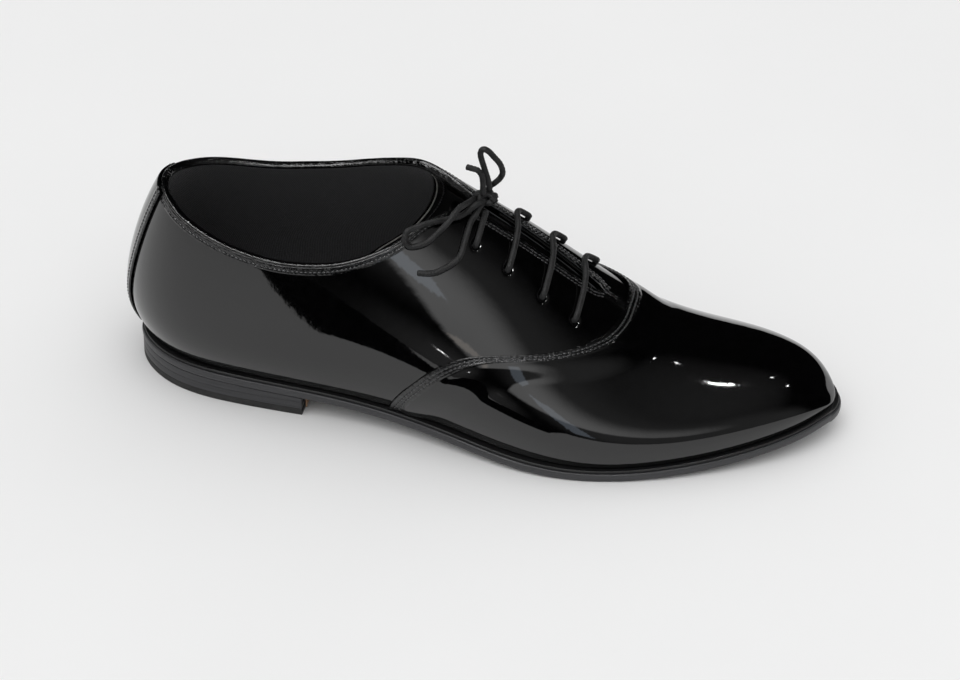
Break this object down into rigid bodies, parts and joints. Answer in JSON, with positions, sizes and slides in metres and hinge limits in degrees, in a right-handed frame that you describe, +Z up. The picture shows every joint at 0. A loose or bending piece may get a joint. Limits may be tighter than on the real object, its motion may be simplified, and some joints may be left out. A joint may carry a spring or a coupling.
{
  "type": "leather oxford shoe",
  "caption": "Right oxford shoe in black patent leather with closed lacing, a slim almond toe, thin sole and low heel.",
  "frame": {"origin": "middle of the shoe's box in plan, on the floor", "axes": "+X towards the toe, +Y towards the inner, medial side of the foot, +Z up"},
  "size_m": [0.2771, 0.092, 0.1032],
  "materials": {
    "patent_leather": "high gloss",
    "lining_cloth": "matt twill",
    "stiffener_board": "matt fibre board",
    "eyelet_metal": "black lacquer",
    "waxed_lace": "waxed round braid",
    "sole_edge": "satin dyed edge",
    "heel_rubber": "fine grained",
    "nail_steel": "worn",
    "cork": "ground cork",
    "spring_steel": "oiled"
  },
  "bodies": {
    "shoe": {"quarter_lateral": "patent_leather", "quarter_lining_lateral": "lining_cloth", "facing_lining_lateral": "patent_leather", "facing_stay_lateral": "lining_cloth", "quarter_medial": "patent_leather", "quarter_lining_medial": "lining_cloth", "facing_lining_medial": "patent_leather", "facing_stay_medial": "lining_cloth", "vamp": "patent_leather", "vamp_lining": "lining_cloth", "heel_counter": "stiffener_board", "toe_puff": "stiffener_board", "back_strap": "patent_leather", "topline_binding": "patent_leather", "blind_eyelet_lateral_1": "eyelet_metal", "blind_eyelet_lateral_2": "eyelet_metal", "blind_eyelet_lateral_3": "eyelet_metal", "blind_eyelet_lateral_4": "eyelet_metal", "blind_eyelet_medial_1": "eyelet_metal", "blind_eyelet_medial_2": "eyelet_metal", "blind_eyelet_medial_3": "eyelet_metal", "blind_eyelet_medial_4": "eyelet_metal", "lace_run": "waxed_lace", "lace_knot": "waxed_lace", "lace_loop_standing": "waxed_lace", "lace_end_standing": "waxed_lace", "lace_loop_lateral": "waxed_lace", "lace_end_lateral": "waxed_lace", "welt": "sole_edge", "outsole": "sole_edge", "heel_top_piece": "heel_rubber", "heel_lift_lower": "sole_edge", "heel_lift_upper": "sole_edge", "heel_nail_1": "nail_steel", "heel_nail_2": "nail_steel", "heel_nail_3": "nail_steel", "heel_nail_4": "nail_steel", "heel_nail_5": "nail_steel", "insole_board": "stiffener_board", "sock_lining": "lining_cloth", "cork_filler": "cork", "shank": "spring_steel"},
    "tongue": {"tongue": "patent_leather", "tongue_lining": "lining_cloth"}
  },
  "joints": [
    {"name": "tongue_press", "type": "hinge", "parent": "shoe", "child": "tongue", "pos_m": [0.0442, 0.0115, 0.0393], "axis": [0, 1, 0], "range_deg": [-18, 0], "stiffness_Nm_per_rad": 0.06}
  ]
}
